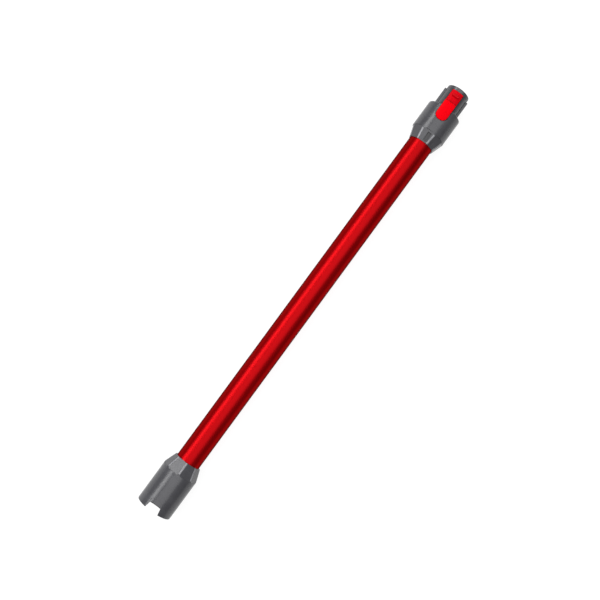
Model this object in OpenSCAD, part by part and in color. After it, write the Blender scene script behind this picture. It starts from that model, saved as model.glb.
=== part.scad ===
// Extension wand of a cordless stick vacuum cleaner.
// It lies along X with the mouth of its socket at x = 0 and the tip of its spigot at x = wand_len.
// +Z runs through the notch in the socket and through the release button.

/* [Tube] */
// Length from the mouth of the socket to the tip of the spigot
wand_len = 730; // [500:1:900]
// Outside diameter of the aluminium tube
tube_d = 36.8; // [36.4:0.1:37.6]
// Wall of the tube
tube_wall = 1.2; // [0.9:0.1:1.4]
// Length of tube held inside the socket
tube_in_socket = 29.3; // [27:0.1:31]
// Length of tube held inside the collar
tube_in_collar = 25.4; // [22:0.2:28]
// Diameter of the snap holes near the ends of the tube
snap_d = 6; // [4:0.5:8]
// Distance from an end of the tube to the middle of its snap holes
snap_inset = 7; // [5.5:0.5:9]

/* [Socket shell] */
// Outside diameter of the socket
socket_d = 54; // [52.5:0.5:60]
// Wall of the socket shell
socket_wall = 2.2; // [1.6:0.1:2.4]
// Length of the round body of the socket
socket_body_len = 63.4; // [60:0.2:80]
// Length of the panelled taper behind the body
socket_taper_len = 18.8; // [14:0.1:24]
// Turn of the panels about the wand, from a rib at the top
socket_turn = 2.5; // [-22:0.5:22]
// Rounding of the mouth's outer edge
mouth_round = 1.2; // [0.4:0.1:1.6]
// Depth of the notch in the mouth
notch_depth = 11.6; // [9:0.1:12]
// Width of the notch at the mouth
notch_mouth_w = 21; // [18:0.5:22]
// Width of the notch at its closed end
notch_end_w = 18; // [17.8:0.1:19]
// Radius of the corners at the notch's closed end
notch_corner_r = 3.6; // [2:0.2:5]
// Width of the thumb relief behind the notch
relief_w = 19.8; // [16:0.2:22]
// Length of the thumb relief past the end of the notch
relief_len = 6.6; // [4:0.2:9]
// Depth of the thumb relief
relief_depth = 0.5; // [0.3:0.1:0.8]

/* [Panelled tapers] */
// Wall over the tube at the middle of a panel's end
rim_wall = 0.8; // [0.6:0.1:1.4]
// Height of a rib over its panels at the end of a taper
rib_h = 0.8; // [0.4:0.1:1.2]
// Step from the round body down to the middle of a panel
panel_step = 1.4; // [0.8:0.1:1.8]
// Length of the bore that grips the tube
grip_len = 6.4; // [5:0.2:8]

/* [Socket liner] */
// Thickness of the front ring and the bulkhead
liner_plate = 2.4; // [1.8:0.1:3]
// Wall of the guide sleeve
sleeve_wall = 2; // [1.6:0.1:2.4]
// Depth of the relief behind the sleeve's guide bore
sleeve_relief = 0.4; // [0.3:0.05:0.6]
// Length of the spout that goes into the tube
spout_len = 13; // [11:0.5:16]
// Wall of the spouts
spout_wall = 1.4; // [1:0.1:1.8]
// Depth of the flat floor of the airway below the axis
duct_flat = 9.6; // [9.2:0.1:9.7]
// Thickness of the floor under the airway
floor_wall = 1.2; // [0.9:0.1:1.2]
// Thickness of the rubber seal at the bulkhead
seal_t = 2; // [1.4:0.1:2.6]
// Width of the round part of the seal
seal_w = 3.4; // [2.4:0.1:3.6]
// Thickness of the gaskets at the ends of the tube
gasket_t = 1; // [0.6:0.1:1.4]

/* [Collar] */
// Outside diameter of the collar
collar_d = 51.6; // [50.6:0.2:56]
// Wall of the collar
collar_wall = 2.4; // [1.8:0.1:2.6]
// Length of the round body of the collar, shoulder included
collar_body_len = 41.5; // [40:0.1:46]
// Length of the panelled taper below the body
collar_taper_len = 15.9; // [14:0.1:22]
// Turn of the panels about the wand, from a panel at the top
collar_turn = -3; // [-22:0.5:22]
// Length of the rounded shoulder
shoulder_len = 2; // [1.4:0.1:3]
// Width of the drain slot in the top panel
slot_w = 6; // [4:0.2:7]
// Sideways place of the drain slot
slot_y = -2.8; // [-4:0.1:4]
// Depth of the drain slot where it is deepest
slot_depth = 1.6; // [0.8:0.1:1.8]

/* [Spigot] */
// Length of the spigot beyond the shoulder
spigot_len = 34; // [33:0.1:36]
// Outside diameter of the spigot
spigot_d = 34.6; // [33.4:0.1:35]
// Diameter of the airway through the spigot
spigot_bore_d = 25.8; // [24.4:0.1:26]
// Length of the land at the tip that a seal closes on
land_len = 5.2; // [5:0.1:6]
// Depth of the spigot's sides below the land
land_step = 0.3; // [0.25:0.05:0.4]
// Rounding of the spigot's tip
tip_round = 1.2; // [0.8:0.1:2]
// Height of the side guides over the spigot
guide_proud = 2.4; // [2:0.1:3]
// Height of a side guide across the wand
guide_h = 8; // [5:0.5:12]
// Distance of the guides' ends from the tip
guide_short = 6.4; // [6.1:0.1:8]
// Radial clearance between the guides and a socket
guide_clear = 0.4; // [0.2:0.05:0.6]

/* [Release button] */
// Width of the button
button_w = 17.6; // [16.4:0.1:17.7]
// Radius of the corners at the button's thumb end
button_corner_r = 8; // [5:0.2:8]
// Length of the thumb pad, back from the shoulder
pad_len = 20.9; // [20.4:0.1:23]
// Height of the pad over the collar
pad_proud = 0.4; // [0.2:0.1:0.9]
// Thickness of the pad
pad_t = 2.6; // [2:0.1:3]
// Length of the pad past the shoulder
pad_over = 7.2; // [6:0.1:7.4]
// Length of the slope between pad and tongue
slope_len = 4.2; // [3.6:0.1:4.6]
// Thickness of the tongue
tongue_t = 1.8; // [1.4:0.1:2]
// Height of the tongue over the spigot
tongue_proud = 1.1; // [0.8:0.1:1.6]
// Distance of the tongue's end from the tip of the spigot
tongue_short = 6; // [6:0.1:8]
// Gap round the button
button_gap = 0.6; // [0.3:0.05:0.7]
// Width of the rebate round the button's opening
rebate_w = 0.9; // [0.4:0.1:1.2]
// Depth of the rebate round the button's opening
rebate_depth = 0.5; // [0.3:0.1:0.8]
// Height of the catch over the tongue
catch_h = 2.6; // [2.4:0.1:3]
// Width of the catch
catch_w = 10; // [6:0.5:12]
// Distance of the catch's face from the shoulder
catch_x = 19.2; // [18.9:0.1:20.2]
// Length of the catch's ramp
catch_ramp = 4.4; // [3:0.1:5]
// Diameter of the steel hinge pin
pin_d = 2; // [1.6:0.1:2.2]
// Radial clearance of the hinge pin
pin_clear = 0.05; // [0.02:0.01:0.08]
// Wall of the knuckle and ears round the pin
knuckle_wall = 1; // [0.8:0.1:1.1]
// Half the width of the button's knuckle
knuckle_half = 4.3; // [3:0.1:4.6]
// Thickness of each ear
ear_t = 2; // [1.4:0.1:2.2]
// Wire of the button's spring
spring_wire = 0.6; // [0.4:0.05:0.8]
// Outside diameter of the button's spring
spring_d = 5.2; // [4.6:0.1:5.6]

/* [Contacts] */
// Diameter of a contact pin
contact_d = 1.9; // [1.6:0.05:2]
// Sideways distance of a contact from the middle
contact_y = 3.2; // [3:0.1:3.4]
// Length of a contact pin in front of the bulkhead
contact_reach = 15.7; // [12:0.1:17]
// Wall of a receptacle
clip_wall = 0.3; // [0.2:0.05:0.35]
// Length of a receptacle
clip_len = 13; // [12:0.5:15]
// Width of the contact block in the spigot
block_w = 10.8; // [10.4:0.1:11]
// Height of the contact block in the spigot
block_h = 3.8; // [3.6:0.1:3.9]
// Gap between the pin block and the shoulder that the tube stops at
pin_block_gap = 3.1; // [2:0.1:4.5]
// Shank diameter of the screws
screw_d = 2; // [1.6:0.1:2.2]
// Diameter of a wire over its insulation
wire_d = 2; // [1.6:0.1:2]
// Wall of the cable conduit
conduit_wall = 0.9; // [0.7:0.1:1.1]

/* [Hidden] */
$fn = 96;
eps = 0.01;
fit = 0.2; // clearance between pieces that are pushed together
loose = 0.1; // clearance of a hole over what passes through it
far = 60; // longer than any cut across the wand
edge_steps = 6; // facets of a small rounded edge

// Tube and airway
tube_r = tube_d / 2;
tube_in = tube_r - tube_wall;
spout_r = tube_in - fit;
spout_bore = spout_r - spout_wall;
floor_z = duct_flat + floor_wall;
grip_r = tube_r + 0.15;
stop_t = 2; // shoulder that the tube's end rests against
snap_gap = 0.15; // round a boss in its hole, and below the tube's skin

// Spigot and what it plugs into
spigot_r = spigot_d / 2;
spigot_side_r = spigot_r - land_step;
land_x0 = wand_len - land_len;
guide_r = spigot_r + guide_proud;
sleeve_in = guide_r + guide_clear;
sleeve_r = sleeve_in + sleeve_wall;
shoulder_x = wand_len - spigot_len;
flange_r = guide_r + 0.1;
bore_r = spigot_bore_d / 2;

// Socket
socket_r = socket_d / 2;
socket_in = socket_r - socket_wall;
socket_len = socket_body_len + socket_taper_len;
liner_r = socket_in - fit;
nose_gap = 0.4; // between the seal and the spigot of a tool
bulkhead_x = spigot_len + nose_gap + seal_t;
guide_land = bulkhead_x - contact_reach - nose_gap;
window_x0 = catch_x - 0.5;
window_x1 = catch_x + catch_ramp + 0.8;
window_gap = 0.6; // at each side of a catch
liner_notch_gap = 1; // of the liner's notch outside the shell's
seat_gap = 0.4; // between the seal and its rim
seat_wall = 1.2; // thickness and height of the seal's rim
bulkhead_end = bulkhead_x + liner_plate;
tube_x0 = socket_len - tube_in_socket;
stop_x = tube_x0 - gasket_t;

// Collar
collar_r = collar_d / 2;
collar_in = collar_r - collar_wall;
collar_x0 = shoulder_x - collar_body_len - collar_taper_len;
collar_body_x = collar_x0 + collar_taper_len;
tube_x1 = collar_x0 + tube_in_collar;
flange_x = tube_x1 + gasket_t;
flange_end = flange_x + liner_plate;
lip_x = shoulder_x - collar_wall - fit;
lip_t = 2; // plate behind the collar's shoulder
lip_w = 1; // of that plate outside the hole in the shoulder
shoulder_flat = 0.3; // width of the flat round the hole in the shoulder
slot_inset = 1.6; // of the drain slot's ends from the ends of the taper
slot_shallow = 0.6; // depth of the drain slot at its shallow end

// Release button
pad_x0 = shoulder_x - pad_len;
pad_r = collar_r + pad_proud;
tongue_r = spigot_r + tongue_proud;
tongue_x1 = wand_len - tongue_short;
catch_face = shoulder_x + catch_x;
catch_r = tongue_r + catch_h;
pivot_x = pad_x0 + 5.4;
knuckle_r = pin_d / 2 + pin_clear + knuckle_wall;
cone_end = shoulder_x - 6;
slot_floor = bore_r + 1;
duct_r = slot_floor + 0.4;
ear_gap = 0.3; // between the knuckle and an ear
pivot_z = pad_r - 6.2;
spring_x = shoulder_x - 6.4 - spring_d / 2;
spring_z0 = 17.2;
spring_z1 = pad_r - pad_t - 1;
spring_turns = 3.5;
spring_seat_r = spring_d / 2 + 0.8;
stop_tab_w = 1.4;
stop_tab_t = 1.2;
stop_tab_r = collar_in - 0.3;
stop_tab_x0 = spring_x - 3;
stop_tab_x1 = spring_x + 4;
pad_bond = 0.3; // how far the parts under the pad reach into it
heel_gap = 0.6; // between the shoulder and the button's deep front part

// Contacts, wires and conduit
contact_r = contact_d / 2;
conduit_z = floor_z + fit;
lid_t = 0.8;
contact_z = floor_z + 2.2;
clip_in = contact_r + loose;
clip_r = clip_in + clip_wall;
clip_gap = 0.02; // round a receptacle in its block
clip_back = 1; // solid back end of a receptacle
clip_x1 = wand_len - 4;
clip_x0 = clip_x1 - clip_len;
block_x0 = clip_x0 - 9.5;
block_x1 = wand_len - 3;
block_z = floor_z + 0.1;
block_cavity = 0.15;
pin_block_x1 = stop_x - stop_t - pin_block_gap;
pin_boss_wall = 0.5; // round a contact pin where it passes the bulkhead
pin_tail = pin_block_x1 + 5;
clip_tail = block_x0 - 5;
crimp_len = 8;
crimp_in = max(contact_r, wire_d / 2) + 0.03;
crimp_wall = 0.27;
wire_gap = 0.2; // between a wire's core and the contact inside a crimp
conduit_r = tube_in - 0.15;
channel_half = contact_y + 5; // half the width of the conduit's channel
conduit_x0 = tube_x0 + 8;
conduit_x1 = tube_x1 - 2;
screw_y = 7;
screw_z = 15.2;
screw_gap = 0.05; // round a screw in a clearance hole
screw_bite = 0.15; // of a screw's hole under the screw's radius
block_screw_x = block_x0 + 4;
block_screw_head_t = 0.8;
block_screw_head_r = screw_d / 2 + 0.6;
block_screw_len = 4.6;

grey = [0.42, 0.42, 0.44];
inner_grey = [0.3, 0.3, 0.32];

function arc(cx, cy, rx, ry, a0, a1, n = 12) =
    [for (i = [0:n]) let (a = a0 + (a1 - a0) * i / n) [cx + rx * cos(a), cy + ry * sin(a)]];

// A round bar along X
module bar(x0, x1, r) {
    translate([x0, 0, 0]) rotate([0, 90, 0]) cylinder(h = x1 - x0, r = r);
}

// A ring along X
module ring(x0, x1, r_out, r_in) {
    difference() {
        bar(x0, x1, r_out);
        bar(x0 - 1, x1 + 1, r_in);
    }
}

// A round bar at a place across the wand
module bar_at(y, z, x0, x1, r) {
    translate([0, y, z]) bar(x0, x1, r);
}

// An outline of radius and x, turned about the wand's axis
module turned(outline) {
    rotate([0, 90, 0]) rotate_extrude() polygon(outline);
}

// A round bar with a flat underside at z = -flat
module flat_bar(x0, x1, r, flat) {
    intersection() {
        bar(x0, x1, r);
        translate([x0 - 1, -far, -flat]) cube([x1 - x0 + 2, 2 * far, far + flat]);
    }
}

// A block given by its limits
module block(x0, x1, y0, y1, z0, z1) {
    translate([x0, y0, z0]) cube([x1 - x0, y1 - y0, z1 - z0]);
}

// A section across the wand, drawn in Y and Z, from x0 to x1
module across(x0, x1) {
    translate([x0, 0, 0]) rotate([90, 0, 90]) linear_extrude(height = x1 - x0) children();
}

// A short bar across the wand along Y
module cross_bar(x, z, y0, y1, r) {
    translate([x, y1, z]) rotate([90, 0, 0]) cylinder(h = y1 - y0, r = r, $fn = 48);
}

// Wedges that leave eight flat panels between x0 and x1, with middles at radius a0 and a1
module panel_cuts(x0, a0, x1, a1, turn) {
    slope = atan2(a1 - a0, x1 - x0);
    for (k = [0:7]) rotate([k * 45 + turn, 0, 0])
        intersection() {
            block(x0 - 1, x1 + 1, -far / 2, far / 2, 0, far);
            translate([x0, 0, a0]) rotate([0, -slope, 0]) block(-far, far, -far / 2, far / 2, 0, far);
        }
}

// Round bosses on a spout that snap into the holes of the tube
module snap_bosses(x) {
    for (side = [-1, 1]) cross_bar(x, 0, side > 0 ? spout_bore + eps : -tube_r + snap_gap,
        side > 0 ? tube_r - snap_gap : -spout_bore - eps, snap_d / 2 - snap_gap);
}

module notch_outline(grow) {
    half = notch_mouth_w / 2 + grow;
    end_half = notch_end_w / 2 + grow;
    end_x = notch_depth + grow;
    r = notch_corner_r + grow;
    polygon(concat(
        [[-2, -half], [0, -half]],
        arc(end_x - r, -end_half + r, r, r, -80, 0),
        arc(end_x - r, end_half - r, r, r, 0, 80),
        [[0, half], [-2, half]]));
}

module socket_shell() {
    panel_rim = grip_r + rim_wall;
    color(grey) difference() {
        turned(concat(
            [[socket_in, 0]],
            arc(socket_r - mouth_round, mouth_round, mouth_round, mouth_round, -90, 0, edge_steps),
            [[socket_r, socket_body_len], [panel_rim + rib_h, socket_len], [grip_r, socket_len],
                [grip_r, socket_len - grip_len], [socket_in, socket_body_len - 3]]));
        panel_cuts(socket_body_len, socket_r - panel_step, socket_len, panel_rim, socket_turn + 22.5);
        linear_extrude(height = far) notch_outline(0);
        intersection() {
            ring(-1, notch_depth + relief_len, far, socket_r - relief_depth);
            linear_extrude(height = far) relief_outline();
        }
    }
}

module relief_outline() {
    half = relief_w / 2;
    straight = notch_depth + relief_len - 3.6;
    polygon(concat([[-2, -half]], arc(straight, 0, 3.6, half, -90, 90, 16), [[-2, half]]));
}

module socket_liner() {
    color(inner_grey) difference() {
        union() {
            turned([[0, bulkhead_x], [sleeve_in + sleeve_relief, bulkhead_x],
                [sleeve_in + sleeve_relief, guide_land], [sleeve_in, guide_land], [sleeve_in, 0],
                [liner_r, 0], [liner_r, liner_plate], [sleeve_r, liner_plate],
                [sleeve_r, bulkhead_x], [liner_r, bulkhead_x], [liner_r, bulkhead_end],
                [0, bulkhead_end]]);
            flat_bar(bulkhead_end - eps, tube_x0 + spout_len, spout_r, floor_z);
            difference() {
                bar(stop_x - stop_t, stop_x, tube_r);
                block(stop_x - stop_t - 1, stop_x + 1, -far, far, -far, -floor_z);
            }
            difference() {
                ring(bulkhead_x - seat_wall, bulkhead_x + eps, bore_r + seal_w + seat_gap + seat_wall,
                    bore_r + seal_w + seat_gap);
                block(0, bulkhead_x + 1, -far, far, -far, -floor_z + seat_gap);
            }
            snap_bosses(tube_x0 + snap_inset);
        }
        flat_bar(bulkhead_x - 1, bulkhead_end + eps, bore_r + loose, duct_flat);
        flat_bar(bulkhead_end, tube_x0 + spout_len + 1, spout_bore, duct_flat);
        linear_extrude(height = far) notch_outline(liner_notch_gap);
        block(window_x0, window_x1, -catch_w / 2 - window_gap, catch_w / 2 + window_gap, 0, far);
        for (side = [-1, 1]) {
            bar_at(side * contact_y, -contact_z, bulkhead_x - 1, bulkhead_end + 1,
                contact_r + pin_boss_wall + loose);
            bar_at(side * screw_y, -screw_z, bulkhead_x - 1, bulkhead_end + 1, screw_d / 2 + screw_gap);
        }
    }
}

module socket_seal() {
    color([0.1, 0.1, 0.1]) difference() {
        flat_bar(bulkhead_x - seal_t, bulkhead_x, bore_r + seal_w, floor_z);
        flat_bar(0, bulkhead_x + 1, bore_r + loose, duct_flat);
    }
}

module lower_gasket() {
    color([0.1, 0.1, 0.1]) ring(stop_x, tube_x0, tube_r, spout_r + loose);
}

module upper_gasket() {
    color([0.1, 0.1, 0.1]) ring(tube_x1, flange_x, tube_r, spout_r + loose);
}

module wand_tube() {
    color([0.8, 0.05, 0.1]) difference() {
        ring(tube_x0, tube_x1, tube_r, tube_in);
        for (x = [tube_x0 + snap_inset, tube_x1 - snap_inset]) cross_bar(x, 0, -far, far, snap_d / 2);
    }
}

module pin_block() {
    half = screw_y + screw_d / 2 + 1.6;
    color([0.12, 0.12, 0.13]) difference() {
        union() {
            block(bulkhead_end, pin_block_x1, -half, half, -screw_z - screw_d / 2 - 2, -conduit_z);
            for (side = [-1, 1])
                bar_at(side * contact_y, -contact_z, bulkhead_x, bulkhead_end + 1,
                    contact_r + pin_boss_wall);
        }
        for (side = [-1, 1]) {
            bar_at(side * contact_y, -contact_z, bulkhead_x - 1, pin_block_x1 + 1, contact_r);
            bar_at(side * screw_y, -screw_z, bulkhead_end - 1, pin_block_x1 - 1, screw_d / 2 + screw_gap);
        }
    }
}

// A screw along X with its head towards the start and a six-sided socket in it
module screw(x0, x1, r, head_r, head_t) {
    difference() {
        union() {
            bar(x0 - head_t, x0, head_r);
            bar(x0 - eps, x1, r);
        }
        translate([x0 - head_t - eps, 0, 0]) rotate([0, 90, 0])
            cylinder(h = head_t * 0.6, r = head_r * 0.5, $fn = 6);
    }
}

module pin_block_screws() {
    color([0.65, 0.65, 0.67]) for (side = [-1, 1]) translate([0, side * screw_y, -screw_z])
        screw(bulkhead_x, pin_block_x1 - 1.6, screw_d / 2, screw_d * 0.95, 1.4);
}

module contact_pin(side) {
    tip_x = bulkhead_x - contact_reach;
    color([0.85, 0.68, 0.3]) translate([0, side * contact_y, -contact_z])
        turned([[0, tip_x], [contact_r * 0.55, tip_x], [contact_r, tip_x + 0.8],
            [contact_r, pin_tail], [0, pin_tail]]);
}

module contact_pin_live() { contact_pin(1); }

module contact_pin_return() { contact_pin(-1); }

module conduit_section() {
    difference() {
        intersection() {
            circle(r = conduit_r);
            translate([-far, -far]) square([2 * far, far - conduit_z - lid_t]);
        }
        intersection() {
            circle(r = conduit_r - conduit_wall);
            translate([-channel_half, -far]) square([2 * channel_half, far]);
        }
    }
}

module cable_conduit() {
    color([0.2, 0.2, 0.22]) across(conduit_x0, conduit_x1) conduit_section();
}

module conduit_lid() {
    color([0.24, 0.24, 0.26]) across(conduit_x0, conduit_x1) intersection() {
        circle(r = conduit_r);
        translate([-far, -conduit_z - lid_t]) square([2 * far, lid_t]);
    }
}

module wire(side) {
    bar_at(side * contact_y, -contact_z, pin_tail + wire_gap, clip_tail - wire_gap, wire_d / 2);
}

module wire_live() { color([0.8, 0.1, 0.1]) wire(1); }

module wire_return() { color([0.05, 0.05, 0.05]) wire(-1); }

module wire_crimps() {
    color([0.7, 0.7, 0.72]) for (side = [-1, 1], x = [pin_tail, clip_tail])
        translate([0, side * contact_y, -contact_z])
            ring(x - crimp_len / 2, x + crimp_len / 2, crimp_in + crimp_wall, crimp_in);
}

// Plan of the button, or of the opening for it when grown
module button_outline(grow, x1) {
    half = button_w / 2 + grow;
    r = button_corner_r + grow;
    cx = pad_x0 - grow + r;
    polygon(concat(
        arc(cx, half - r, r, r, 90, 180, 16),
        arc(cx, -half + r, r, r, 180, 270, 16),
        [[x1, -half], [x1, half]]));
}

module collar_cover() {
    panel_rim = grip_r + rim_wall;
    hole_r = flange_r + fit;
    color(grey) difference() {
        turned(concat(
            [[grip_r, collar_x0], [panel_rim + rib_h, collar_x0], [collar_r, collar_body_x]],
            arc(hole_r + shoulder_flat, shoulder_x - shoulder_len, collar_r - hole_r - shoulder_flat,
                shoulder_len, 0, 90, 10),
            [[hole_r, shoulder_x], [hole_r, shoulder_x - collar_wall],
                [flange_r + lip_w, shoulder_x - collar_wall], [collar_in, shoulder_x - shoulder_len - 1],
                [collar_in, collar_body_x + 6], [grip_r, collar_x0 + grip_len + 2]]));
        panel_cuts(collar_x0, panel_rim, collar_body_x, collar_r - panel_step, collar_turn);
        drain_slot();
        translate([0, 0, pivot_z - far / 4]) linear_extrude(height = far)
            button_outline(button_gap, shoulder_x + 1);
        intersection() {
            ring(pad_x0 - 5, shoulder_x + 1, far, collar_r - rebate_depth);
            linear_extrude(height = far) button_outline(button_gap + rebate_w, shoulder_x + 1);
        }
    }
}

// A shallow slot in the top panel of the collar, deeper towards the body
module drain_slot() {
    x0 = collar_x0 + slot_inset;
    x1 = collar_body_x - slot_inset;
    rise = (collar_r - panel_step - grip_r - rim_wall) / collar_taper_len;
    z0 = grip_r + rim_wall + rise * slot_inset - slot_shallow;
    z1 = grip_r + rim_wall + rise * (collar_taper_len - slot_inset) - slot_depth;
    rotate([collar_turn, 0, 0]) translate([0, slot_y + slot_w / 2, 0]) rotate([90, 0, 0])
        linear_extrude(height = slot_w) polygon([[x0, z0], [x1, z1], [x1, far], [x0, far]]);
}

module side_guides() {
    guide_x1 = wand_len - guide_short;
    for (side = [-1, 1]) intersection() {
        ring(shoulder_x - 1, guide_x1, guide_r, spigot_side_r - eps);
        block(shoulder_x - 1, guide_x1, side > 0 ? 0 : -far, side > 0 ? far : 0, -guide_h / 2, guide_h / 2);
    }
}

module spigot_duct() {
    color(grey) difference() {
        union() {
            flat_bar(tube_x1 - spout_len, flange_x + eps, spout_r, floor_z);
            flat_bar(flange_x, flange_end, tube_r - loose, floor_z);
            flat_duct([[0, flange_end - eps], [spout_bore + floor_wall, flange_end - eps],
                [duct_r, cone_end], [duct_r, lip_x], [0, lip_x]]);
            turned(concat(
                [[0, lip_x - lip_t], [flange_r + lip_w, lip_x - lip_t], [flange_r + lip_w, lip_x],
                    [flange_r, lip_x], [flange_r, shoulder_x], [spigot_side_r, shoulder_x],
                    [spigot_side_r, land_x0], [spigot_r, land_x0]],
                arc(spigot_r - tip_round, wand_len - tip_round, tip_round, tip_round, 0, 90, edge_steps),
                [[0, wand_len]]));
            side_guides();
            snap_bosses(tube_x1 - snap_inset);
            for (side = [-1, 1]) ear(side > 0 ? knuckle_half + ear_gap : -knuckle_half - ear_gap - ear_t);
            translate([spring_x, 0, 0]) cylinder(h = spring_z0, r = spring_seat_r);
            translate([spring_x, 0, 0]) cylinder(h = spring_z0 + 1.6, r = spring_d / 2 - spring_wire - fit);
        }
        flat_bar(tube_x1 - spout_len - 1, flange_end, spout_bore, duct_flat);
        flat_duct([[0, flange_end - eps], [spout_bore, flange_end - eps], [bore_r, cone_end],
            [bore_r, wand_len + 1], [0, wand_len + 1]], duct_flat);
        tongue_slot();
        block(cone_end, wand_len + 1, -block_w / 2 - block_cavity, block_w / 2 + block_cavity,
            -block_z - block_h - block_cavity, -floor_z);
        for (side = [-1, 1]) cross_bar(pivot_x, pivot_z, side > 0 ? 1 : -far / 2, side > 0 ? far / 2 : -1,
            pin_d / 2 + pin_clear);
        block_screw_hole();
    }
}

// A turned outline with the flat underside of the airway
module flat_duct(outline, flat = floor_z) {
    intersection() {
        turned(outline);
        block(tube_x0, wand_len + 2, -far, far, -flat, far);
    }
}

// The channel in the lip and the spigot that the tongue sinks into
module tongue_slot() {
    half = button_w / 2 + button_gap;
    intersection() {
        ring(lip_x - lip_t - 1, tongue_x1 + button_gap + 0.1, far, slot_floor);
        block(lip_x - lip_t - 1, wand_len, -half, half, 0, far);
    }
}

module ear(y0) {
    cross_bar(pivot_x, pivot_z, y0, y0 + ear_t, knuckle_r);
    block(pivot_x - knuckle_r, pivot_x + knuckle_r, y0, y0 + ear_t, spout_bore - 3, pivot_z);
}

module block_screw_hole() {
    translate([block_screw_x, 0, -far]) cylinder(h = far - floor_z, r = screw_d / 2 - screw_bite);
    translate([block_screw_x, 0, -far])
        cylinder(h = far - spigot_side_r + block_screw_head_t + 0.1, r = block_screw_head_r + fit);
}

module contact_block_screw() {
    color([0.65, 0.65, 0.67]) translate([block_screw_x, 0, -spigot_side_r + 0.1]) rotate([0, -90, 0])
        screw(block_screw_head_t, block_screw_len, screw_d / 2 - screw_bite - screw_gap,
            block_screw_head_r, block_screw_head_t);
}

module contact_block() {
    color([0.12, 0.12, 0.13]) difference() {
        block(block_x0, block_x1, -block_w / 2, block_w / 2, -block_z - block_h, -block_z);
        for (side = [-1, 1]) {
            bar_at(side * contact_y, -contact_z, clip_x0, block_x1 + 1, clip_r + clip_gap);
            bar_at(side * contact_y, -contact_z, block_x0 - 1, clip_x0 + 1, contact_r + clip_gap);
        }
        translate([block_screw_x, 0, -far])
            cylinder(h = far - block_z - 0.7, r = screw_d / 2 - screw_bite);
    }
}

module contact_clip(side) {
    color([0.85, 0.68, 0.3]) translate([0, side * contact_y, -contact_z]) {
        ring(clip_x0 + clip_back - eps, clip_x1, clip_r, clip_in);
        bar(clip_x0, clip_x0 + clip_back, clip_r);
        bar(clip_tail, clip_x0 + eps, contact_r);
    }
}

module contact_clip_live() { contact_clip(1); }

module contact_clip_return() { contact_clip(-1); }

module release_button() {
    pad_in = pad_r - pad_t;
    tongue_in = tongue_r - tongue_t;
    slope_x0 = shoulder_x + pad_over;
    slope_x1 = slope_x0 + slope_len;
    heel_x = shoulder_x + heel_gap;
    color([0.85, 0.05, 0.1]) {
        intersection() {
            turned([[pad_r - 0.5, pad_x0], [pad_r, pad_x0 + 0.7], [pad_r, slope_x0],
                [tongue_r, slope_x1], [tongue_r, tongue_x1], [tongue_in, tongue_x1],
                [tongue_in, heel_x], [pad_in, heel_x], [pad_in, pad_x0]]);
            linear_extrude(height = far) button_outline(0, wand_len);
        }
        catch_tooth();
        difference() {
            intersection() {
                union() {
                    cross_bar(pivot_x, pivot_z, -knuckle_half, knuckle_half, knuckle_r);
                    block(pivot_x - 1.4, pivot_x + 1.4, -knuckle_half, knuckle_half, pivot_z, pad_r);
                }
                bar(pad_x0, shoulder_x, pad_in + pad_bond);
            }
            cross_bar(pivot_x, pivot_z, -far, far, pin_d / 2 + pin_clear);
        }
        translate([spring_x, 0, spring_z1]) cylinder(h = 1.2, r = spring_seat_r);
        for (side = [-1, 1]) mirror([0, side > 0 ? 0 : 1, 0]) stop_tab();
    }
}

// A tab at the button's side that rests under the edge of the collar's opening
module stop_tab() {
    half = button_w / 2;
    intersection() {
        union() {
            ring(stop_tab_x0, stop_tab_x1, stop_tab_r, stop_tab_r - stop_tab_t);
            intersection() {
                ring(stop_tab_x0, stop_tab_x1, pad_r - pad_bond, stop_tab_r - stop_tab_t);
                block(0, wand_len, 0, half, 0, far);
            }
        }
        block(0, wand_len, half - stop_tab_t, half + stop_tab_w, 0, far);
    }
}

module catch_tooth() {
    intersection() {
        turned([[tongue_r - 0.5, catch_face], [catch_r, catch_face], [catch_r, catch_face + 0.8],
            [tongue_r, catch_face + catch_ramp], [tongue_r - 0.5, catch_face + catch_ramp]]);
        block(catch_face - 1, wand_len, -catch_w / 2, catch_w / 2, 0, far);
    }
}

module button_pin() {
    reach = knuckle_half + ear_gap + ear_t + fit;
    color([0.7, 0.7, 0.72]) cross_bar(pivot_x, pivot_z, -reach, reach, pin_d / 2);
}

// The spring's wire, swept as rings of points round a helix with flat ends
module button_spring() {
    sides = 8;
    steps = 72;
    rise = spring_z1 - spring_z0 - spring_wire - 0.04;
    mean_r = (spring_d - spring_wire) / 2;
    function turn(i) = 360 * spring_turns * i / steps;
    function lift(i) = rise * (0.5 - 0.5 * cos(180 * i / steps));
    points = [for (i = [0:steps], k = [0:sides - 1]) let (a = 360 * k / sides,
        r = mean_r + spring_wire / 2 * cos(a))
        [r * cos(turn(i)), r * sin(turn(i)), lift(i) + spring_wire / 2 * sin(a)]];
    walls = [for (i = [0:steps - 1], k = [0:sides - 1]) let (n = (k + 1) % sides)
        [i * sides + k, (i + 1) * sides + k, (i + 1) * sides + n, i * sides + n]];
    ends = [[for (k = [0:sides - 1]) k], [for (k = [sides - 1:-1:0]) steps * sides + k]];
    color([0.75, 0.75, 0.77]) translate([spring_x, 0, spring_z0 + spring_wire / 2 + 0.02])
        polyhedron(points = points, faces = concat(walls, ends), convexity = 8);
}

wand_tube();
socket_shell();
socket_liner();
socket_seal();
lower_gasket();
pin_block();
pin_block_screws();
contact_pin_live();
contact_pin_return();
cable_conduit();
conduit_lid();
wire_live();
wire_return();
wire_crimps();
collar_cover();
spigot_duct();
upper_gasket();
contact_block();
contact_block_screw();
contact_clip_live();
contact_clip_return();
release_button();
button_pin();
button_spring();
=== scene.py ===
import math
import bmesh
import bpy
import numpy as np
from mathutils import Matrix, Vector


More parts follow.
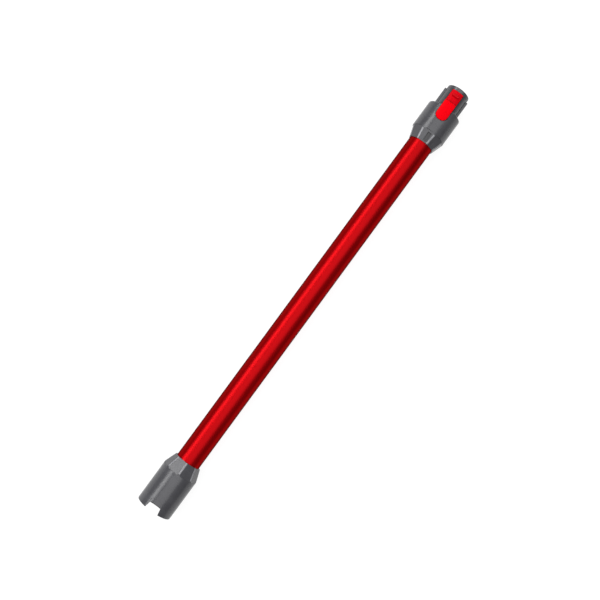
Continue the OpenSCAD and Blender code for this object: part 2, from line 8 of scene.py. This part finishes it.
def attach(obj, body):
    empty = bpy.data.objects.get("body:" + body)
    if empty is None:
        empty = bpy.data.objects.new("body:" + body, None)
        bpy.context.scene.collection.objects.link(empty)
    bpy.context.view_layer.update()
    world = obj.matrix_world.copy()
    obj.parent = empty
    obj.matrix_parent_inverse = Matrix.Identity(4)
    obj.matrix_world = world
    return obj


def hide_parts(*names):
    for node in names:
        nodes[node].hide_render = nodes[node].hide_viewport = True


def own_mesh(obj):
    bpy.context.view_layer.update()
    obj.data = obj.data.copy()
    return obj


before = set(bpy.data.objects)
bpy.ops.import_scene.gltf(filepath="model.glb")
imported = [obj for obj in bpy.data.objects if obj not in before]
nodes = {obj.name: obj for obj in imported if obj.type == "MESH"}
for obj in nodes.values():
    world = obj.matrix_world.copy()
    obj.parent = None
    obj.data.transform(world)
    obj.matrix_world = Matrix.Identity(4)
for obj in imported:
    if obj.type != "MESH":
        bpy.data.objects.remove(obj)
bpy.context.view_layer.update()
print("stage: frame loaded with", len(nodes), "nodes")

mm = 0.001

# The camera stands 1.2 m above the wand, which lies across the picture from lower left to upper right
cameraLook = {
    "lens": 51.77,
    "sensor": 36.0,
    "place": (0.28488, -0.03398, 1.22184),
    "right": (0.59153, -0.806239, -0.008419),
    "up": (0.806276, 0.591449, 0.0104),
    "back": (-0.003406, -0.01294, 0.99991),
    "shift": (0.025, 0.085),
    "clip": (0.01, 20.0),
}


def placeCamera(look):
    camera = bpy.data.cameras.new("camera")
    camera.lens = look["lens"]
    camera.sensor_width = look["sensor"]
    camera.shift_x, camera.shift_y = look["shift"]
    camera.clip_start, camera.clip_end = look["clip"]
    held = bpy.data.objects.new("camera", camera)
    turned = Matrix((look["right"], look["up"], look["back"])).transposed().to_4x4()
    turned.translation = Vector(look["place"])
    held.matrix_world = turned
    bpy.context.scene.collection.objects.link(held)
    bpy.context.scene.camera = held


placeCamera(cameraLook)
print("stage: camera")


def srgb(code):
    parts = [int(code[i:i + 2], 16) / 255 for i in (1, 3, 5)]
    return [p / 12.92 if p <= 0.04045 else ((p + 0.055) / 1.055) ** 2.4 for p in parts] + [1.0]


def addNode(tree, kind, sockets=None, links=None, **settings):
    node = tree.nodes.new(kind)
    for name, value in settings.items():
        setattr(node, name, value)
    for name, value in (sockets or {}).items():
        node.inputs[name].default_value = value
    for name, source in (links or {}).items():
        tree.links.new(source, node.inputs[name])
    return node


def newSurface(name, fixed):
    material = bpy.data.materials.new(name)
    material.use_nodes = True
    tree = material.node_tree
    tree.nodes.clear()
    shader = addNode(tree, "ShaderNodeBsdfPrincipled", sockets=fixed)
    addNode(tree, "ShaderNodeOutputMaterial", links={"Surface": shader.outputs["BSDF"]})
    place = addNode(tree, "ShaderNodeTexCoord")
    return material, tree, shader, place.outputs["Object"]


# What every finish shares: nearly all of a noise lies between its low and high level
patternLook = {
    "low": 0.3, "high": 0.7, "roughness": 0.55, "relief": 0.5, "plasticDetail": 3.0, "metalDetail": 4.0,
}


def patternInto(tree, shader, look, place, detail):
    # Tone carries the colour and the gloss, and both noises stand as fine relief
    low, high, roughness = (patternLook[key] for key in ("low", "high", "roughness"))
    tone, grain = (
        addNode(
            tree, "ShaderNodeTexNoise", links={"Vector": place},
            sockets={"Scale": 1 / (look[size] * mm), "Detail": detail, "Roughness": roughness},
        ).outputs["Fac"] for size in ("flowMm", "grainMm")
    )
    colour = addNode(tree, "ShaderNodeValToRGB", links={"Fac": tone})
    for end, position, code in ((0, low, look["dark"]), (1, high, look["light"])):
        colour.color_ramp.elements[end].position = position
        colour.color_ramp.elements[end].color = srgb(code)
    gloss = addNode(
        tree, "ShaderNodeMapRange", links={"Value": tone},
        sockets={"From Min": low, "From Max": high, "To Min": look["gloss"], "To Max": look["matt"]},
    )
    waves = addNode(
        tree, "ShaderNodeBump", links={"Height": tone},
        sockets={"Strength": patternLook["relief"], "Distance": look["waveMm"] * mm},
    )
    skin = addNode(
        tree, "ShaderNodeBump", links={"Height": grain, "Normal": waves.outputs["Normal"]},
        sockets={"Strength": patternLook["relief"], "Distance": look["skinMm"] * mm},
    )
    tree.links.new(colour.outputs["Color"], shader.inputs["Base Color"])
    tree.links.new(gloss.outputs["Result"], shader.inputs["Roughness"])
    tree.links.new(skin.outputs["Normal"], shader.inputs["Normal"])


def mouldedPlastic(name, look):
    fixed = {"IOR": look["ior"], "Specular Tint": srgb(look["sheen"])}
    material, tree, shader, place = newSurface(name, fixed)
    patternInto(tree, shader, look, place, patternLook["plasticDetail"])
    return material


def drawnMetal(name, look):
    # Stretch below 1 draws the pattern out along the wand
    fixed = {
        "Metallic": 1.0, "Specular Tint": srgb(look["edge"]), "Coat Weight": look["coat"],
        "Coat Roughness": look["coatMatt"],
    }
    material, tree, shader, place = newSurface(name, fixed)
    along = addNode(tree, "ShaderNodeMapping", links={"Vector": place}, sockets={"Scale": look["stretch"]})
    patternInto(tree, shader, look, along.outputs["Vector"], patternLook["metalDetail"])
    return material


# ABS from a polished mould: dark grey, with broad soft highlights and a faint flow pattern
greyAbs = mouldedPlastic("glossGreyAbs", {
    "dark": "#3c3c40", "light": "#444448", "gloss": 0.24, "matt": 0.30, "ior": 1.52, "sheen": "#ffffff",
    "flowMm": 16.0, "grainMm": 0.5, "waveMm": 0.006, "skinMm": 0.003,
})
# The same ABS, paler and glossier, on the crowns of the ribs: the paler colour is a painted highlight for the
# bright lines the ribs catch
paintedHighlightAbs = mouldedPlastic("paintedHighlightGreyAbs", {
    "dark": "#77777b", "light": "#8c8c90", "gloss": 0.16, "matt": 0.22, "ior": 1.52, "sheen": "#ffffff",
    "flowMm": 9.0, "grainMm": 0.5, "waveMm": 0.003, "skinMm": 0.002,
})
# ABS dyed red: saturated, and a little glossier than the grey
redAbs = mouldedPlastic("glossRedAbs", {
    "dark": "#d4000c", "light": "#dc000f", "gloss": 0.36, "matt": 0.42, "ior": 1.50, "sheen": "#ff2828",
    "flowMm": 9.0, "grainMm": 0.4, "waveMm": 0.003, "skinMm": 0.002,
})
# The same red ABS, duller, and darker as painted shade for the tongue, which is lit less than the pad
paintedShadeRedAbs = mouldedPlastic("paintedShadeRedAbs", {
    "dark": "#b6000d", "light": "#c20011", "gloss": 0.46, "matt": 0.54, "ior": 1.50, "sheen": "#ff4040",
    "flowMm": 5.0, "grainMm": 0.4, "waveMm": 0.003, "skinMm": 0.006,
})
# ABS of the inner pieces: darker, with the dull skin of a spark-eroded mould. On the floor of the collar's
# drain slot its darkness is painted shade, and on the liner it is partly painted shade for the inside of the
# socket
darkAbs = mouldedPlastic("satinDarkAbs", {
    "dark": "#232325", "light": "#2a2a2d", "gloss": 0.42, "matt": 0.52, "ior": 1.52, "sheen": "#ffffff",
    "flowMm": 11.0, "grainMm": 0.35, "waveMm": 0.01, "skinMm": 0.012,
})
# Glass-filled nylon: near black, with fibres that mottle its gloss
blackNylon = mouldedPlastic("glassFilledNylon", {
    "dark": "#1b1b1d", "light": "#26262a", "gloss": 0.40, "matt": 0.62, "ior": 1.53, "sheen": "#ffffff",
    "flowMm": 1.6, "grainMm": 0.3, "waveMm": 0.01, "skinMm": 0.015,
})
# Nitrile rubber, moulded: matt and slightly dusty
nitrileRubber = mouldedPlastic("nitrileRubber", {
    "dark": "#161616", "light": "#202020", "gloss": 0.66, "matt": 0.84, "ior": 1.48, "sheen": "#ffffff",
    "flowMm": 2.5, "grainMm": 0.25, "waveMm": 0.02, "skinMm": 0.02,
})
# PVC insulation, extruded: soft satin
redPvc = mouldedPlastic("extrudedRedPvc", {
    "dark": "#9a1218", "light": "#a8161d", "gloss": 0.38, "matt": 0.50, "ior": 1.53, "sheen": "#ffffff",
    "flowMm": 6.0, "grainMm": 0.4, "waveMm": 0.01, "skinMm": 0.006,
})
blackPvc = mouldedPlastic("extrudedBlackPvc", {
    "dark": "#151516", "light": "#1e1e20", "gloss": 0.38, "matt": 0.50, "ior": 1.53, "sheen": "#ffffff",
    "flowMm": 6.0, "grainMm": 0.4, "waveMm": 0.01, "skinMm": 0.006,
})
# Red anodised aluminium, drawn and etched satin: the dyed layer looks darker where it is seen edge on
redAnodised = drawnMetal("redAnodisedAluminium", {
    "dark": "#9a0409", "light": "#a0050b", "edge": "#100002", "coat": 0.04, "coatMatt": 0.3, "gloss": 0.38,
    "matt": 0.42, "flowMm": 4.0, "grainMm": 0.8, "waveMm": 0.001, "skinMm": 0.002, "stretch": (0.02, 1, 1),
})
# Zinc-plated steel: pale and slightly cloudy
zincSteel = drawnMetal("zincPlatedSteel", {
    "dark": "#9ea0a4", "light": "#b4b6ba", "edge": "#ffffff", "coat": 0.0, "coatMatt": 0.3, "gloss": 0.26,
    "matt": 0.40, "flowMm": 1.5, "grainMm": 0.3, "waveMm": 0.004, "skinMm": 0.004, "stretch": (1, 1, 1),
})
# Spring steel wire: grey, with draw marks
springSteel = drawnMetal("drawnSpringSteel", {
    "dark": "#85868a", "light": "#a0a1a5", "edge": "#ffffff", "coat": 0.0, "coatMatt": 0.3, "gloss": 0.25,
    "matt": 0.38, "flowMm": 2.0, "grainMm": 0.2, "waveMm": 0.003, "skinMm": 0.003, "stretch": (1, 1, 1),
})
# Rolled brass: warm, with a light tarnish
rolledBrass = drawnMetal("rolledBrass", {
    "dark": "#b08d43", "light": "#cfae62", "edge": "#ffffff", "coat": 0.0, "coatMatt": 0.3, "gloss": 0.24,
    "matt": 0.38, "flowMm": 2.5, "grainMm": 0.3, "waveMm": 0.003, "skinMm": 0.003, "stretch": (0.1, 1, 1),
})
# Tinned copper crimps: soft grey shine
tinnedCopper = drawnMetal("tinnedCopper", {
    "dark": "#a3a5a8", "light": "#bcbec0", "edge": "#ffffff", "coat": 0.0, "coatMatt": 0.3, "gloss": 0.30,
    "matt": 0.44, "flowMm": 1.5, "grainMm": 0.3, "waveMm": 0.004, "skinMm": 0.004, "stretch": (1, 1, 1),
})

# The finish of each CAD piece
finishOf = {
    "wand_tube": redAnodised, "socket_shell": greyAbs, "socket_liner": darkAbs, "socket_seal": nitrileRubber,
    "lower_gasket": nitrileRubber, "pin_block": blackNylon, "pin_block_screws": zincSteel,
    "contact_pin_live": rolledBrass, "contact_pin_return": rolledBrass, "cable_conduit": darkAbs,
    "conduit_lid": darkAbs, "wire_live": redPvc, "wire_return": blackPvc, "wire_crimps": tinnedCopper,
    "collar_cover": greyAbs, "spigot_duct": greyAbs, "upper_gasket": nitrileRubber,
    "contact_block": blackNylon, "contact_block_screw": zincSteel, "contact_clip_live": rolledBrass,
    "contact_clip_return": rolledBrass, "release_button": redAbs, "button_pin": zincSteel,
    "button_spring": springSteel,
}
for nodeName, finish in finishOf.items():
    for slot in nodes[nodeName].material_slots:
        slot.link = "OBJECT"
        slot.material = finish
print("stage: materials")


def addPiece(name, mesh, body, node, finish, stands=True):
    # A piece that stands for its CAD node takes that node's place, and any other lies on it
    piece = bpy.data.objects.new(name, mesh)
    bpy.context.scene.collection.objects.link(piece)
    mesh.materials.clear()
    mesh.materials.append(finish)
    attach(piece, body)
    if stands:
        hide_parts(node)
    return piece


def finishedMesh(holder):
    bpy.context.view_layer.update()
    shaped = bpy.data.meshes.new_from_object(holder.evaluated_get(bpy.context.evaluated_depsgraph_get()))
    bpy.data.objects.remove(holder)
    return shaped


def grownMesh(name, tree, values):
    # Runs a node tree with its named inputs, and keeps the result as a plain mesh
    holder = bpy.data.objects.new(name + "Work", bpy.data.meshes.new(name))
    bpy.context.scene.collection.objects.link(holder)
    grow = holder.modifiers.new("grow", "NODES")
    grow.node_group = tree
    for item in tree.interface.items_tree:
        if item.name in values:
            grow[item.identifier] = values[item.name]
    return finishedMesh(holder)


def newGrowth(name, values):
    # A geometry tree with a number input for each value
    tree = bpy.data.node_groups.new(name, "GeometryNodeTree")
    tree.interface.new_socket("Geometry", in_out="OUTPUT", socket_type="NodeSocketGeometry")
    for key, value in values.items():
        kind = "NodeSocketInt" if isinstance(value, int) else "NodeSocketFloat"
        tree.interface.new_socket(key, in_out="INPUT", socket_type=kind)
    return tree, addNode(tree, "NodeGroupInput").outputs


def endGrowth(tree, put, shape, finish):
    # Edges that bend by less than sharpAngle, in radians, are shaded smooth
    bend = addNode(tree, "GeometryNodeInputMeshEdgeAngle")
    soft = addNode(
        tree, "FunctionNodeCompare", operation="LESS_THAN",
        links={"A": bend.outputs["Unsigned Angle"], "B": put["sharpAngle"]},
    )
    smooth = addNode(tree, "GeometryNodeSetShadeSmooth", domain="FACE", links={0: shape})
    edged = addNode(
        tree, "GeometryNodeSetShadeSmooth", domain="EDGE",
        links={0: smooth.outputs[0], "Shade Smooth": soft.outputs["Result"]},
    )
    real = addNode(tree, "GeometryNodeRealizeInstances", links={"Geometry": edged.outputs[0]})
    coated = addNode(
        tree, "GeometryNodeSetMaterial", sockets={"Material": finish},
        links={"Geometry": real.outputs["Geometry"]},
    )
    addNode(tree, "NodeGroupOutput", links={"Geometry": coated.outputs["Geometry"]})


# The tube: a drawn wall with a snap hole at each side of both ends, hidden in the mouldings
tubeLook = {
    "radius": 0.0184, "wall": 0.0012, "start": 0.0529, "end": 0.664, "holeRadius": 0.003,
    "holeInset": 0.007, "sides": 256, "sharpAngle": math.radians(30),
}


def growTube(look):
    tree, put = newGrowth("tubeGrowth", look)
    size = {key: put[key] for key in look}
    # Sizes worked out from two others
    for key, operation, first, second in (
        ("length", "SUBTRACT", "end", "start"),
        ("endSum", "ADD", "end", "start"),
        ("bore", "SUBTRACT", "radius", "wall"),
        ("width", "ADD", "radius", "radius"),
        ("pastWidth", "ADD", "width", "width"),
        ("pastLength", "ADD", "length", "width"),
        ("lowHole", "ADD", "start", "holeInset"),
        ("highHole", "SUBTRACT", "end", "holeInset"),
    ):
        size[key] = addNode(
            tree, "ShaderNodeMath", operation=operation, links={0: size[first], 1: size[second]}
        ).outputs["Value"]
    size["middle"] = addNode(
        tree, "ShaderNodeMath", operation="MULTIPLY", sockets={1: 0.5}, links={0: size["endSum"]}
    ).outputs["Value"]
    along, across = (0, math.pi / 2, 0), (math.pi / 2, 0, 0)
    wall = None
    # The first rod is the tube, and the holes and the bore are cut from it in turn
    for radius, middle, length, turn in (
        ("radius", "middle", "length", along),
        ("holeRadius", "lowHole", "pastWidth", across),
        ("holeRadius", "highHole", "pastWidth", across),
        ("bore", "middle", "pastLength", along),
    ):
        rod = addNode(
            tree, "GeometryNodeMeshCylinder",
            links={"Vertices": put["sides"], "Radius": size[radius], "Depth": size[length]},
        )
        seat = addNode(tree, "ShaderNodeCombineXYZ", links={"X": size[middle]})
        laid = addNode(
            tree, "GeometryNodeTransform", sockets={"Rotation": turn},
            links={"Geometry": rod.outputs["Mesh"], "Translation": seat.outputs["Vector"]},
        ).outputs["Geometry"]
        wall = laid if wall is None else addNode(
            tree, "GeometryNodeMeshBoolean", operation="DIFFERENCE", links={"Mesh 1": wall, "Mesh 2": laid}
        ).outputs["Mesh"]
    endGrowth(tree, put, wall, redAnodised)
    return grownMesh("tube", tree, look)


addPiece("wand_tube_piece", growTube(tubeLook), "wand", "wand_tube", redAnodised)
print("stage: tube")

# The crowns of the eight ribs on each taper, laid along the cone between body and rim
socketRibs = {
    "count": 8, "turn": math.radians(2.5), "bodyX": 0.0642, "bodyRadius": 0.0263, "rimX": 0.0819,
    "rimRadius": 0.01995, "width": 0.003, "height": 0.0013, "sides": 24, "sharpAngle": math.radians(60),
}
collarRibs = {
    "count": 8, "turn": math.radians(19.5), "bodyX": 0.6537, "bodyRadius": 0.02513, "rimX": 0.6389,
    "rimRadius": 0.01995, "width": 0.003, "height": 0.0013, "sides": 24, "sharpAngle": math.radians(60),
}


def growRibs(look):
    tree, put = newGrowth("ribGrowth", look)
    foot = addNode(tree, "ShaderNodeCombineXYZ", links={"X": put["bodyX"], "Z": put["bodyRadius"]})
    tip = addNode(tree, "ShaderNodeCombineXYZ", links={"X": put["rimX"], "Z": put["rimRadius"]})
    line = addNode(
        tree, "GeometryNodeCurvePrimitiveLine",
        links={"Start": foot.outputs["Vector"], "End": tip.outputs["Vector"]},
    )
    # A ring one unit across, squeezed to the width and height of the crown
    ring = addNode(
        tree, "GeometryNodeCurvePrimitiveCircle", sockets={"Radius": 0.5}, links={"Resolution": put["sides"]}
    )
    oval = addNode(
        tree, "ShaderNodeCombineXYZ", sockets={"Z": 1.0}, links={"X": put["width"], "Y": put["height"]}
    )
    section = addNode(
        tree, "GeometryNodeTransform",
        links={"Geometry": ring.outputs["Curve"], "Scale": oval.outputs["Vector"]},
    )
    crown = addNode(
        tree, "GeometryNodeCurveToMesh", sockets={"Fill Caps": True},
        links={"Curve": line.outputs["Curve"], "Profile Curve": section.outputs["Geometry"]},
    )
    seats = addNode(tree, "GeometryNodePoints", links={"Count": put["count"]})
    number = addNode(tree, "GeometryNodeInputIndex")
    step = addNode(
        tree, "ShaderNodeMath", operation="DIVIDE", sockets={0: 2 * math.pi}, links={1: put["count"]}
    )
    turn = addNode(
        tree, "ShaderNodeMath", operation="MULTIPLY_ADD",
        links={0: number.outputs["Index"], 1: step.outputs["Value"], 2: put["turn"]},
    )
    about = addNode(tree, "ShaderNodeCombineXYZ", links={"X": turn.outputs["Value"]})
    laid = addNode(tree, "GeometryNodeInstanceOnPoints", links={
        "Points": seats.outputs["Points"], "Instance": crown.outputs["Mesh"],
        "Rotation": about.outputs["Vector"],
    })
    endGrowth(tree, put, laid.outputs["Instances"], paintedHighlightAbs)
    return grownMesh("ribs", tree, look)


# The rib crowns take the paler ABS, a painted highlight
addPiece("socket_ribs_piece", growRibs(socketRibs), "wand", "socket_shell", paintedHighlightAbs, stands=False)
addPiece("collar_ribs_piece", growRibs(collarRibs), "wand", "collar_cover", paintedHighlightAbs, stands=False)
print("stage: ribs")


# How close two corners of the CAD mesh are to be one, and how flat two triangles lie to be one face
cadJoin = {"closeMm": 0.002, "flatAngle": 0.5}


def mergedMesh(node):
    # A copy of the CAD piece, without its loose triangles
    shape = bmesh.new()
    shape.from_mesh(nodes[node].data)
    bmesh.ops.remove_doubles(shape, verts=shape.verts, dist=cadJoin["closeMm"] * mm)
    flat = math.radians(cadJoin["flatAngle"])
    bmesh.ops.dissolve_limit(shape, angle_limit=flat, verts=shape.verts, edges=shape.edges)
    clean = bpy.data.meshes.new(node + "Merged")
    shape.to_mesh(clean)
    shape.free()
    clean.polygons.foreach_set("use_smooth", [True] * len(clean.polygons))
    return clean


def roundedMesh(node, look):
    # Edges rounded as a mould leaves them
    holder = bpy.data.objects.new(node + "Work", mergedMesh(node))
    bpy.context.scene.collection.objects.link(holder)
    edge = holder.modifiers.new("edge", "BEVEL")
    edge.width = look["edgeMm"] * mm
    edge.segments = look["edgeSteps"]
    edge.limit_method = "ANGLE"
    edge.angle_limit = math.radians(look["edgeAngle"])
    edge.miter_outer = "MITER_ARC"
    flat = holder.modifiers.new("flat", "WEIGHTED_NORMAL")
    flat.keep_sharp = True
    return finishedMesh(holder)


# How near a wall's radius a corner lies, and how squarely its face looks out or in, to be part of that wall.
# Least keeps a corner on the axis from a division by nought
wallTest = {"nearMm": 0.03, "facing": 0.99, "least": 1e-9}


def trueRound(mesh, radii):
    # Normals that point straight out where the surface is one of the round walls about the axis
    count = len(mesh.loops)
    corners = np.empty(count * 3, dtype=np.float32)
    mesh.corner_normals.foreach_get("vector", corners)
    corners = corners.reshape(count, 3)
    placed = np.empty(len(mesh.vertices) * 3, dtype=np.float32)
    mesh.vertices.foreach_get("co", placed)
    owner = np.empty(count, dtype=np.int32)
    mesh.loops.foreach_get("vertex_index", owner)
    spot = placed.reshape(-1, 3)[owner]
    away = np.hypot(spot[:, 1], spot[:, 2])
    faces = np.repeat(
        np.array([tuple(p.normal) for p in mesh.polygons]), [p.loop_total for p in mesh.polygons], axis=0
    )
    out = np.stack([np.zeros(count), spot[:, 1], spot[:, 2]], axis=1)
    out /= np.maximum(away, wallTest["least"])[:, None]
    facing = np.sum(faces * out, axis=1)
    for radius in radii:
        near = (np.abs(away - radius * mm) < wallTest["nearMm"] * mm) & (np.abs(facing) > wallTest["facing"])
        corners[near] = out[near] * np.sign(facing[near])[:, None]
    mesh.normals_split_custom_set(corners.tolist())
    return mesh


# The mouldings: the body they ride on, the rounding of their edges and the radii of their round walls, in mm
mouldings = {
    "socket_shell": {
        "body": "wand", "edgeMm": 0.35, "edgeSteps": 3, "edgeAngle": 20, "round": (27.0, 26.5, 24.8),
    },
    "socket_liner": {"body": "wand", "edgeMm": 0.2, "edgeSteps": 2, "edgeAngle": 35, "round": (20.1, 24.6)},
    "collar_cover": {
        "body": "wand", "edgeMm": 0.35, "edgeSteps": 3, "edgeAngle": 20, "round": (25.8, 25.3, 23.4),
    },
    "spigot_duct": {
        "body": "wand", "edgeMm": 0.3, "edgeSteps": 3, "edgeAngle": 35, "round": (17.3, 17.0, 19.7),
    },
    "contact_block": {"body": "wand", "edgeMm": 0.2, "edgeSteps": 2, "edgeAngle": 35, "round": ()},
    "release_button": {
        "body": "button", "edgeMm": 0.6, "edgeSteps": 4, "edgeAngle": 30, "round": (26.2, 18.4),
    },
}
for node, look in mouldings.items():
    shaped = trueRound(roundedMesh(node, look), look["round"])
    addPiece(node + "_piece", shaped, look["body"], node, finishOf[node])

# Two places painted darker as painted shade: the tongue, which goes under the socket that it latches and is lit
# less than the pad, and the floor of the drain slot, a recess. Each is a box turned about the wand, whose low
# and high sides rise with x
paintedShadePlaces = {
    # The tongue in the darker red, as painted shade
    "release_button_piece": {
        "finish": paintedShadeRedAbs, "turn": 0, "x": (0.7052, 0.73), "y": (-0.02, 0.02),
        "low": (0, 0), "high": (0.03, 0.03),
    },
    # The drain slot's floor in the darker ABS, as painted shade in the recess
    "collar_cover_piece": {
        "finish": darkAbs, "turn": -3, "x": (0.6401, 0.653), "y": (-0.00585, 0.00025),
        "low": (0.019, 0.022), "high": (0.01973, 0.02379),
    },
}


# Gives the faces inside a place the darker finish, which paints shade there
def paintShadeOnFaces(piece, place):
    piece.data.materials.append(place["finish"])
    turned = Matrix.Rotation(-math.radians(place["turn"]), 3, "X")
    for face in piece.data.polygons:
        at = turned @ face.center
        inside = place["x"][0] < at.x < place["x"][1] and place["y"][0] < at.y < place["y"][1]
        low, high = (float(np.interp(at.x, place["x"], place[side])) for side in ("low", "high"))
        if inside and low < at.z < high:
            face.material_index = 1


for name, place in paintedShadePlaces.items():
    paintShadeOnFaces(bpy.data.objects[name], place)
print("stage: mouldings")

# The spring gets shorter as the pad dips on its hinge, in metres and degrees; the coil built here is the CAD
# coil, merged, at the CAD's length
springLook = {"hingeX": 0.6805, "dip": 3.0, "sharpAngle": 40}


def addSpring(look):
    coil = mergedMesh("button_spring")
    coil.set_sharp_from_angle(angle=math.radians(look["sharpAngle"]))
    piece = addPiece("button_spring_piece", coil, "wand", "button_spring", springSteel)
    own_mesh(piece)


addSpring(springLook)
print("stage: spring")


# The wand lies on a white table under two soft boxes, the brighter one to the upper left of the picture.
# A level is what a mirror would show of the box, where 1 is white
studio = {
    "floorZ": -0.0272,
    "floorSize": 40.0,
    "floorGlow": 0.86,
    "floorColour": "#7c7c7c",
    "worldLevel": 0.3,
    "boxes": {
        "keyBox": {"level": 5.2, "tilt": 42, "distance": 1.25, "size": (2.4, 0.45), "middle": 0.45},
        "overBox": {"level": 1.75, "tilt": -7, "distance": 1.9, "size": (2.8, 2.0), "middle": 0.45},
    },
}


def softBox(name, look):
    # Tilt is from straight above towards +Y, in degrees
    lamp = bpy.data.lights.new(name, "AREA")
    lamp.shape = "RECTANGLE"
    lamp.size, lamp.size_y = look["size"]
    lamp.energy = look["level"] * math.pi * look["size"][0] * look["size"][1]
    box = bpy.data.objects.new(name, lamp)
    lean = math.radians(look["tilt"])
    box.location = (look["middle"], look["distance"] * math.sin(lean), look["distance"] * math.cos(lean))
    box.rotation_euler = (-lean, 0, 0)
    bpy.context.scene.collection.objects.link(box)


def seenWhite(tree, white):
    # The white that the camera, metal and glass see, with the shadow kept in what is left
    rays = addNode(tree, "ShaderNodeLightPath")
    seen = rays.outputs["Is Camera Ray"]
    for other in ("Is Glossy Ray", "Is Transmission Ray"):
        seen = addNode(
            tree, "ShaderNodeMath", operation="MAXIMUM", links={0: seen, 1: rays.outputs[other]}
        ).outputs["Value"]
    level = addNode(tree, "ShaderNodeMath", operation="MULTIPLY", sockets={1: white}, links={0: seen})
    return level.outputs["Value"]


def makeStudio(look):
    floor = bpy.data.materials.new("whiteTable")
    floor.use_nodes = True
    tree = floor.node_tree
    tree.nodes.clear()
    table = addNode(tree, "ShaderNodeBsdfDiffuse", sockets={"Color": srgb(look["floorColour"])})
    glow = addNode(tree, "ShaderNodeEmission", links={"Strength": seenWhite(tree, look["floorGlow"])})
    both = addNode(tree, "ShaderNodeAddShader", links={0: table.outputs["BSDF"], 1: glow.outputs["Emission"]})
    addNode(tree, "ShaderNodeOutputMaterial", links={"Surface": both.outputs["Shader"]})
    half = look["floorSize"] / 2
    sides = ((-half, -half), (half, -half), (half, half), (-half, half))
    mesh = bpy.data.meshes.new("table")
    mesh.from_pydata([(x, y, look["floorZ"]) for x, y in sides], [], [(0, 1, 2, 3)])
    mesh.materials.append(floor)
    stage = bpy.data.objects.new("table", mesh)
    bpy.context.scene.collection.objects.link(stage)
    world = bpy.data.worlds.new("studio")
    world.use_nodes = True
    bpy.context.scene.world = world
    world.node_tree.nodes.clear()
    sky = addNode(
        world.node_tree, "ShaderNodeBackground", sockets={"Strength": look["worldLevel"], "Color": (1, 1, 1, 1)}
    )
    addNode(world.node_tree, "ShaderNodeOutputWorld", links={"Surface": sky.outputs["Background"]})
    for name, box in look["boxes"].items():
        softBox(name, box)


makeStudio(studio)
print("stage: table and lamps")

bpy.context.scene.view_settings.view_transform = "Standard"
bpy.context.view_layer.update()
